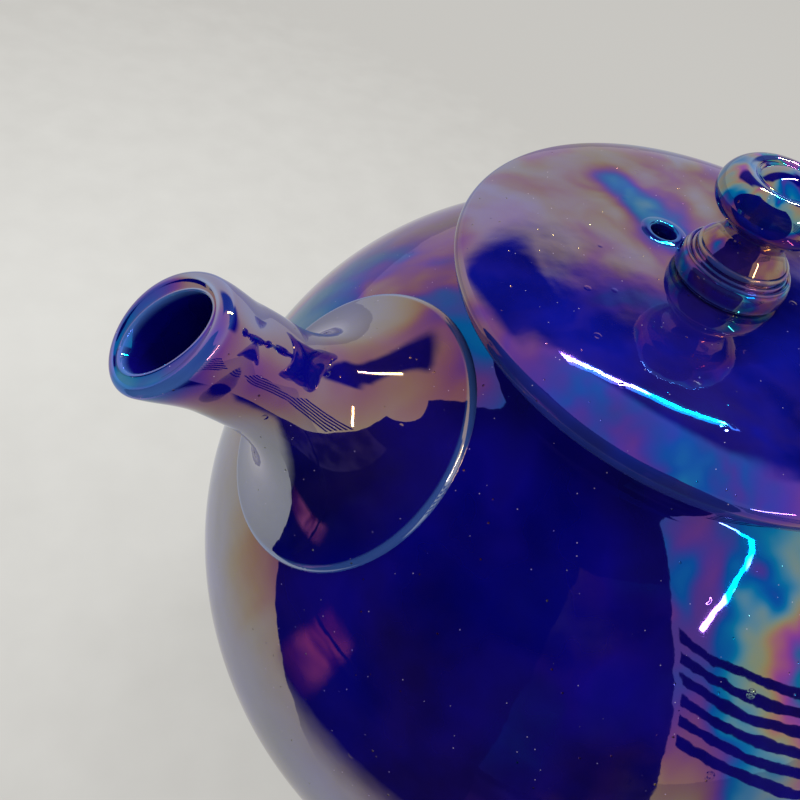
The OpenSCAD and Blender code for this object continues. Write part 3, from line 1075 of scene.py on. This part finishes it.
@dataclass
class Lid(Piece):
    """The loose lid: crown, shoulder, overhanging brim, locating flange and steam vent. Sizes in mm."""

    seat: float
    name: str = "glazed_lid"
    node: str = "lid"
    body: str = "lid"
    slot: str = "lid_glaze"
    radius: float = 41.8
    crown_h: float = 6.3
    brim_h: float = 2.0
    brim_round: float = 1.6
    shoulder_round: float = 26.0
    crown_drop: float = 0.35
    under_round: float = 0.8
    land: float = 9.1
    thick: float = 4.2
    flange: float = 30.4
    flange_thick: float = 3.0
    flange_deep: float = 8.0
    vent: float = 2.1
    vent_out: float = 12.7
    vent_turn: float = 113.5
    vent_rim: float = 3.8
    vent_rim_h: float = 0.18
    flange_round: float = 1.0
    crown_steps: int = 24
    segments: int = 256

    def profile(self) -> list[Point]:
        """Gives the outline from the middle of the crown, over the brim, to the middle underneath.

        Returns:
            Radius and height of each point, in mm.
        """
        edge_h = self.crown_h - self.crown_drop
        brim_x = self.radius - self.brim_round
        shoulder_z = edge_h - self.shoulder_round
        rise = self.brim_h - shoulder_z
        shoulder_x = brim_x - math.sqrt((self.shoulder_round - self.brim_round) ** 2 - rise ** 2)
        turn = math.degrees(math.atan2(rise, brim_x - shoulder_x))
        crown_r = (shoulder_x ** 2 + self.crown_drop ** 2) / (2 * self.crown_drop)
        land_h = self.crown_h - crown_r + math.sqrt(crown_r ** 2 - self.land ** 2)
        points = [(0.0, land_h), (self.land / 2, land_h)]
        for i in range(self.crown_steps):
            out = self.land + (shoulder_x - self.land) * i / self.crown_steps
            points.append((out, self.crown_h - crown_r + math.sqrt(crown_r ** 2 - out ** 2)))
        points += arc((shoulder_x, shoulder_z), self.shoulder_round, 90, turn, 20)
        points += arc((brim_x, self.brim_h), self.brim_round, turn, 0, 12)[1:]
        under = (self.radius - self.under_round - 0.4, self.under_round)
        points += arc(under, self.under_round, -30, -90, 5)
        low, edge = -self.flange_deep, self.flange_round
        points += [(self.flange + edge, 0.0)]
        points += arc((self.flange + edge, -edge), edge, 90, 180, 4)[1:]
        points += arc((self.flange - edge, low + edge), edge, 0, -90, 4)
        inner = self.flange - self.flange_thick
        points += arc((inner + edge, low + edge), edge, -90, -180, 4)
        top = self.crown_h - self.thick
        points += soft_corner((inner, top - 2.0), (inner, top), (inner - 2.0, top))
        points += [(inner * i / 4, top) for i in (3, 2, 1, 0)]
        return [(r, self.seat + z) for r, z in points]

    def glaze(self) -> LustreGlaze:
        """Gives the lid's glaze, with lustre gathered at its vent and on the crown."""
        return LustreGlaze("lid_lustre_glaze", deep="#05054a", full="#0e1490", bloom_share=0.2,
                           edge_share=0.15, film_nm=(80.0, 130.0), band_mm=18.0, curl_mm=8.0,
                           halos=(Halo(self.vent_place(), 9.0, 60.0), Halo((-24.0, -30.0, 133.0), 44.0, 28.0),
                                  Halo((-8.0, 26.0, 135.4), 6.5, 48.0), Halo((-6.4, 19.5, 135.5), 6.5, 48.0),
                                  Halo((7.0, 20.5, 135.5), 6.0, -30.0)))

    def build(self) -> bpy.types.Object:
        """Turns the lid, drills its vent and lines it with a glaze-rounded rim.

        Returns:
            The lid in its seat.
        """
        piece = turned(self.name, self.profile(), self.segments)
        place = Vector(self.vent_place()) * MM
        deselect_all()
        bpy.ops.mesh.primitive_cylinder_add(vertices=48, radius=(self.vent + 0.3) * MM,
                                            depth=4 * self.thick * MM, location=place)
        drill(piece, [bpy.context.active_object])
        rim = self.vent_lining()
        rim.location = place
        settle(rim, "vent_rim")
        make_active(piece)
        rim.select_set(True)
        bpy.ops.object.join()
        return piece

    def vent_place(self) -> Place:
        """Gives the place of the vent's middle on the crown, in mm."""
        a = math.radians(self.vent_turn)
        return (self.vent_out * math.cos(a), self.vent_out * math.sin(a), self.seat + self.crown_h)

    def vent_lining(self) -> bpy.types.Object:
        """Turns the vent's lining: a low ring of glaze on the crown, rounded into the bore.

        Returns:
            The lining, with the crown's face at height 0.
        """
        crown_fall = 0.03
        tall, wide, top = self.vent_rim_h, self.vent_rim, self.vent_rim_h - crown_fall
        ring = [(wide + 0.1, -0.12), (wide, -crown_fall), (wide - 0.35, 0.3 * tall - crown_fall),
                (wide - 0.75, 0.85 * tall - crown_fall), (wide - 0.95, top)]
        ring += soft_corner((self.vent + 0.42, top), (self.vent, top), (self.vent, top - 0.7), 7)
        low = -self.thick - 0.01
        ring += [(self.vent, -1.6), (self.vent, -2.6), (self.vent, low + 0.2), (self.vent + 0.2, low),
                 (self.vent + 0.6, low), (self.vent + 0.6, -0.12)]
        return turned("vent_rim", ring + ring[:1], 64)


@dataclass
class Knob(Piece):
    """The lid's turned knob: drum, fine ridges, cove neck, flattened ball and raised button. Sizes in mm."""

    base: float
    name: str = "glazed_knob"
    node: str = "knob"
    body: str = "lid"
    slot: str = "knob_glaze"
    drum: float = 8.7
    drum_h: float = 3.8
    ring: float = 7.1
    neck: float = 4.7
    neck_h: float = 9.2
    ball: float = 8.9
    ball_h: float = 14.8
    ball_edge: float = 3.6
    button: float = 4.3
    button_h: float = 1.6
    segments: int = 160

    def profile(self) -> list[Point]:
        """Gives the outline from the buried middle of the foot to the top of the button.

        Returns:
            Radius and height of each point, in mm.
        """
        ring_h = self.drum_h + 1.5
        cove = self.ring + 0.4 - self.neck
        ball_x = self.ball - self.ball_edge
        points = [(0.0, 0.0), (self.drum - 0.9, 0.0)]
        points += arc((self.drum - 1.1, 0.7), 0.7, -75, -5, 4)
        points += arc((self.drum - 6.0, 1.6), 6.0, -6, 20, 8)
        points += arc((self.ring + 0.75, self.drum_h + 0.1), 0.32, -20, 150, 6)
        points += arc((self.ring + 0.05, self.drum_h + 0.55), 0.28, 0, 150, 6)
        points += [(self.ring - 0.35, ring_h - 0.5)]
        points += arc((self.ring - 0.55, ring_h + 0.05), 0.55, -70, 95, 8)
        points += arc((self.neck + cove, self.neck_h), cove, 224, 136, 18)
        points += arc((ball_x, self.ball_h), self.ball_edge, -128, 78, 34)
        top = self.ball_h + self.ball_edge
        points += [(self.button + 0.7, top - 0.25)]
        points += arc((self.button + 0.35, top - 0.2), 0.28, -40, -150, 4)
        dome = (self.button ** 2 + self.button_h ** 2) / (2 * self.button_h)
        reach = math.degrees(math.asin(self.button * 0.96 / dome))
        points += arc((0.0, top + self.button_h - 0.7 - dome), dome, 90 - reach, 90, 12)
        return [(max(0.0, r), self.base + z) for r, z in points]

    def glaze(self) -> LustreGlaze:
        """Gives the knob's glaze, with the thickest lustre on the ball and the drum."""
        return LustreGlaze("knob_lustre_glaze", film_nm=(88.0, 320.0), film_heights=(146.0, 153.0),
                           band_mm=9.0, curl_mm=4.0, edge_share=0.25,
                           halos=(Halo((0.0, 0.0, 132.0), 15.0, 200.0),))

    def build(self) -> bpy.types.Object:
        """Turns the knob."""
        return turned(self.name, self.profile(), self.segments)


def strainer_drills(spout: Spout, radius: float = 2.1, pitch: float = 7.6,
                    around: int = 6) -> bpy.types.Object:
    """Makes the drills for the strainer behind the spout.

    Args:
        spout: The spout whose axis the holes follow.
        radius: Each hole's radius in mm.
        pitch: Distance of the outer holes from the middle one, in mm.
        around: Number of outer holes.

    Returns:
        The drills, joined to one object.
    """
    _, forward = spout.axis()
    turns = [FULL_TURN * i / around for i in range(around)]
    spots = [(0.0, 0.0)] + [(pitch * math.cos(a), pitch * math.sin(a)) for a in turns]
    made = []
    for x, y in spots:
        deselect_all()
        bpy.ops.mesh.primitive_cylinder_add(vertices=32, radius=radius * MM, depth=24 * MM,
                                            location=spout.place(Vector((x, y, -2.0))) * MM,
                                            rotation=forward.to_track_quat("Z", "Y").to_euler())
        made.append(bpy.context.active_object)
    deselect_all()
    for bit in made:
        bit.select_set(True)
    bpy.context.view_layer.objects.active = made[0]
    bpy.ops.object.join()
    return made[0]


# --- the studio -----------------------------------------------------------------------------------


def heading(azimuth: float, elevation: float) -> Vector:
    """Gives the direction of an azimuth (0 towards -Y, 90 towards +X) and an elevation, in degrees."""
    a, e = math.radians(azimuth), math.radians(elevation)
    return Vector((math.sin(a) * math.cos(e), -math.cos(a) * math.cos(e), math.sin(e)))


LID_FRONT: Place = (-25.0, -19.0, 135.0)
BELLY_FRONT: Place = (-15.0, -41.0, 120.0)


@dataclass(frozen=True)
class Strip:
    """A straight lamp. Its ends are given as azimuth and elevation, seen from a place on the teapot.

    Distance and width are in metres, power in watts and the place in mm.
    """

    name: str
    start: Point
    end: Point
    distance: float
    width: float
    power: float
    tint: str = "#ffffff"
    seen_from: Place = (0.0, 0.0, 100.0)

    def lamp(self) -> bpy.types.Object:
        """Makes the lamp, which faces the place that it is seen from.

        Returns:
            The lamp.
        """
        a, b = heading(*self.start) * self.distance, heading(*self.end) * self.distance
        along = (b - a).normalized()
        away = (a + b) / 2
        back = (away - along * away.dot(along)).normalized()
        data = bpy.data.lights.new(self.name, "AREA")
        data.shape = "RECTANGLE"
        data.size, data.size_y = (b - a).length, self.width
        data.energy = self.power
        data.color = colour(self.tint)[:3]
        made = bpy.data.objects.new(self.name, data)
        bpy.context.scene.collection.objects.link(made)
        turn = Matrix((along, back.cross(along), back)).transposed().to_4x4()
        made.matrix_world = Matrix.Translation(Vector(self.seen_from) * MM + away) @ turn
        made.visible_camera = False
        return made


@dataclass(frozen=True)
class Flag:
    """A dark cloth, bent round the teapot, that only its reflections show.

    Angles are in degrees, the radius in metres, and the lift above the floor and the centre in mm.
    Its lower left corner may be cut off in a curve, and its edges may thin out softly. Where it would
    reach below the floor, it lies on it.
    """

    name: str
    azimuth: Point
    elevation: Point
    radius: float = 0.45
    cut: Point = (0.0, 0.0)
    soft: Point = (0.0, 0.0)
    soft_side: float = 0.0
    tilt: float = 0.0
    lift: float = 1.0
    dark: str = "#040408"
    light: str = "#1c1a24"
    fold_mm: float = 110.0
    centre: Place = (0.0, 0.0, 80.0)
    columns: int = 48
    rows: int = 40

    def cloth(self) -> bpy.types.Object:
        """Makes the cloth from a grid that is bent to a part of a sphere.

        Returns:
            The cloth.
        """
        deselect_all()
        bpy.ops.mesh.primitive_grid_add(x_subdivisions=self.columns, y_subdivisions=self.rows, size=2.0)
        made = bpy.context.active_object
        settle(made, self.name)
        self.mark_cover(made)
        warp(made, self.bent)
        made.data.materials.append(self.fabric())
        made.visible_camera = made.visible_diffuse = made.visible_shadow = made.visible_transmission = False
        return made

    def bent(self, flat: Vector) -> Vector:
        """Gives a grid point's place on the cloth.

        Args:
            flat: The grid point, from -1 to 1 across and up.

        Returns:
            Its place in metres.
        """
        low, high = self.elevation
        up = low + (high - low) * (flat.y + 1) / 2
        first, last = self.azimuth
        cut, cut_from = self.cut
        if up < cut_from:
            first += cut * ((cut_from - up) / (cut_from - low)) ** 2
        middle = Vector(self.centre) * MM
        reach = self.radius
        if up < 0:
            reach = min(reach, (middle.z - self.lift * MM) / math.sin(math.radians(-up)))
        return middle + heading(first + (last - first) * (flat.x + 1) / 2, up + self.tilt * flat.x) * reach

    def mark_cover(self, cloth: bpy.types.Object) -> None:
        """Stores how dense the cloth is at each point, from 0 on a soft edge to 1.

        Args:
            cloth: The flat grid, before it is bent.
        """
        low, high = self.elevation
        store = cloth.data.attributes.new("cover", "FLOAT", "POINT")
        for vertex, item in zip(cloth.data.vertices, store.data):
            up = low + (high - low) * (vertex.co.y + 1) / 2
            side = (self.azimuth[1] - self.azimuth[0]) * (1 - abs(vertex.co.x)) / 2
            item.value = 1.0
            if self.soft[0]:
                item.value *= soft_step(up, low, low + self.soft[0])
            if self.soft[1]:
                item.value *= 1.0 - soft_step(up, high - self.soft[1], high)
            if self.soft_side:
                item.value *= soft_step(side, 0.0, self.soft_side)

    def fabric(self) -> bpy.types.Material:
        """Makes matt dark fabric with soft, slightly lighter folds.

        Returns:
            The finished material.
        """
        made, tree = new_material(self.name + "_fabric")
        at = add_node(tree, "TexCoord").outputs["Object"]
        fold = add_node(tree, "TexNoise", {"Vector": at, "Scale": per_size(self.fold_mm), "Detail": 2.0})
        body = ramp(tree, fold.outputs["Fac"], ((0.42, self.dark), (0.68, self.light)))
        cover = add_node(tree, "Attribute", attribute_name="cover")
        shader = add_node(tree, "BsdfPrincipled", {"Base Color": body.outputs["Color"], "Roughness": 1.0,
                                                   "Specular IOR Level": 0.0, "Alpha": cover.outputs["Fac"]})
        add_node(tree, "OutputMaterial", {"Surface": shader.outputs["BSDF"]})
        return made


@dataclass
class Studio:
    """Plain pale studio: paper floor, strip lamps, dark flags that only reflections see, and the camera."""

    target: Vector
    strips: Sequence[Strip] = (
        Strip("strip_over_lid", (160.0, 61.0), (122.0, 43.0), 0.9, 0.014, 4.5, "#ffffff", LID_FRONT),
        Strip("strip_glow", (161.0, 61.6), (121.0, 43.2), 0.92, 0.05, 0.45, "#a9c4ff", LID_FRONT),
        Strip("strip_right", (44.0, 50.0), (11.0, 38.0), 0.9, 0.02, 1.4, "#f4f0ff", BELLY_FRONT),
    )
    flags: Sequence[Flag] = (
        Flag("flag_front", (-116.0, -2.0), (-33.0, 72.0), cut=(54.0, 10.0), soft=(8.0, 0.0),
             light="#101018"),
        Flag("flag_panel", (-36.0, -2.0), (-30.0, 50.0), 0.44, soft=(8.0, 0.0), lift=2.0,
             dark="#161224", light="#3c3454"),
        Flag("flag_rose", (-85.0, -71.0), (-27.0, -3.0), 0.43, soft=(7.0, 7.0), soft_side=4.0, lift=3.0,
             dark="#541c3c", light="#b0587f"),
        Flag("flag_back", (96.0, 206.0), (34.0, 65.0), 1.3, soft=(7.0, 6.0), soft_side=12.0, light="#141218"),
        Flag("flag_side", (78.0, 136.0), (24.0, 62.0), 1.25, soft=(7.0, 8.0), soft_side=9.0, light="#141218"),
    )
    slats: int = 6
    slat_azimuth: Point = (0.0, 40.0)
    slat_first: float = -2.0
    slat_step: float = 5.0
    slat_high: float = 2.8
    slat_tilt: float = -14.0
    floor_radius: float = 6.0
    daylight: float = 0.72
    backdrop: str = "#dddcd8"
    lens_mm: float = 37.504
    camera_azimuth: float = -48.894
    camera_elevation: float = 50.285
    camera_roll: float = 33.5005
    camera_distance: float = 0.18557
    target_pixel: Point = (561.0986, 530.2178)
    frame_pixels: float = 800.0
    sensor_mm: float = 36.0

    def camera(self) -> None:
        """Makes the camera: aims it at the belly's middle, rolls it and lets the target fall on its pixel."""
        back = heading(self.camera_azimuth, self.camera_elevation)
        right = (-back).cross(Vector((0, 0, 1))).normalized()
        up = right.cross(-back)
        roll = math.radians(self.camera_roll)
        right, up = right * math.cos(roll) + up * math.sin(roll), up * math.cos(roll) - right * math.sin(roll)
        focal = self.lens_mm / self.sensor_mm * self.frame_pixels
        half = self.frame_pixels / 2
        ray = Vector(((self.target_pixel[0] - half) / focal, (half - self.target_pixel[1]) / focal, -1.0))
        aside = Vector((0.0, 0.0, -1.0)).rotation_difference(ray.normalized()).to_matrix()
        data = bpy.data.cameras.new("camera")
        data.lens, data.sensor_width = self.lens_mm, self.sensor_mm
        data.clip_start, data.clip_end = 0.005, 20.0
        made = bpy.data.objects.new("camera", data)
        bpy.context.scene.collection.objects.link(made)
        world_to_camera = aside @ Matrix((right, up, back))
        made.matrix_world = (Matrix.Translation(self.target + back * self.camera_distance)
                             @ world_to_camera.transposed().to_4x4())
        bpy.context.scene.camera = made

    def floor(self) -> None:
        """Makes the paper that the teapot stands on."""
        deselect_all()
        bpy.ops.mesh.primitive_circle_add(vertices=128, radius=self.floor_radius, fill_type="NGON",
                                          location=(0, 0, -0.1 * MM))
        made = bpy.context.active_object
        settle(made, "floor")
        made.data.materials.append(StudioPaper().material())

    def louvre(self) -> None:
        """Makes the dark slats of a blind at the right."""
        for i in range(self.slats):
            low = self.slat_first + self.slat_step * i
            Flag(f"slat_{i + 1}", self.slat_azimuth, (low, low + self.slat_high), tilt=self.slat_tilt,
                 columns=12, rows=2).cloth()

    def world(self) -> None:
        """Makes the even light from all round, pale where camera and reflections see it."""
        made = bpy.data.worlds.new("studio")
        made.use_nodes = True
        tree = made.node_tree
        tree.nodes.clear()
        path = add_node(tree, "LightPath")
        seen = path.outputs["Is Camera Ray"]
        for name in ("Is Glossy Ray", "Is Transmission Ray"):
            seen = add_node(tree, "Math", {0: seen, 1: path.outputs[name]},
                            operation="MAXIMUM").outputs["Value"]
        lit = add_node(tree, "Background", {"Color": colour("#ffffff"), "Strength": self.daylight})
        pale = add_node(tree, "Background", {"Color": colour(self.backdrop), "Strength": 1.0})
        both = add_node(tree, "MixShader", {"Fac": seen, 1: lit.outputs["Background"],
                                            2: pale.outputs["Background"]})
        add_node(tree, "OutputWorld", {"Surface": both.outputs["Shader"]})
        bpy.context.scene.world = made

    def build(self) -> None:
        """Makes everything round the teapot."""
        self.camera()
        self.floor()
        for flag in self.flags:
            flag.cloth()
        self.louvre()
        for strip in self.strips:
            strip.lamp()
        self.world()
        bpy.context.scene.view_settings.view_transform = "Standard"


def main() -> None:
    """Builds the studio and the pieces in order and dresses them."""
    logging.basicConfig(level=logging.INFO, format="%(name)s: %(message)s")
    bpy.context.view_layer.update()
    pot_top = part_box("pot")[1]
    knob_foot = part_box("knob")[0]
    belly = Belly(radius=pot_top.x / MM)
    Studio(Vector((0.0, 0.0, belly.middle * MM))).build()
    LOG.info("studio ready")

    clay = BareClay().material()
    pot = Pot(belly, seat=pot_top.z / MM)
    spout, handle = Spout(belly), Handle(belly)
    lid, knob = Lid(seat=pot.seat), Knob(base=knob_foot.z / MM)
    for piece in (pot, spout, handle, lid, knob):
        made = piece.build()
        finishes = [piece.glaze().material()]
        if piece is pot:
            drill(made, [strainer_drills(spout)])
            pot.bare_foot(made)
            finishes.append(clay)
        piece.dress(made, finishes)
        LOG.info("%s: %d faces", piece.name, len(made.data.polygons))
    LOG.info("sizes written")


if __name__ == "__main__":
    main()
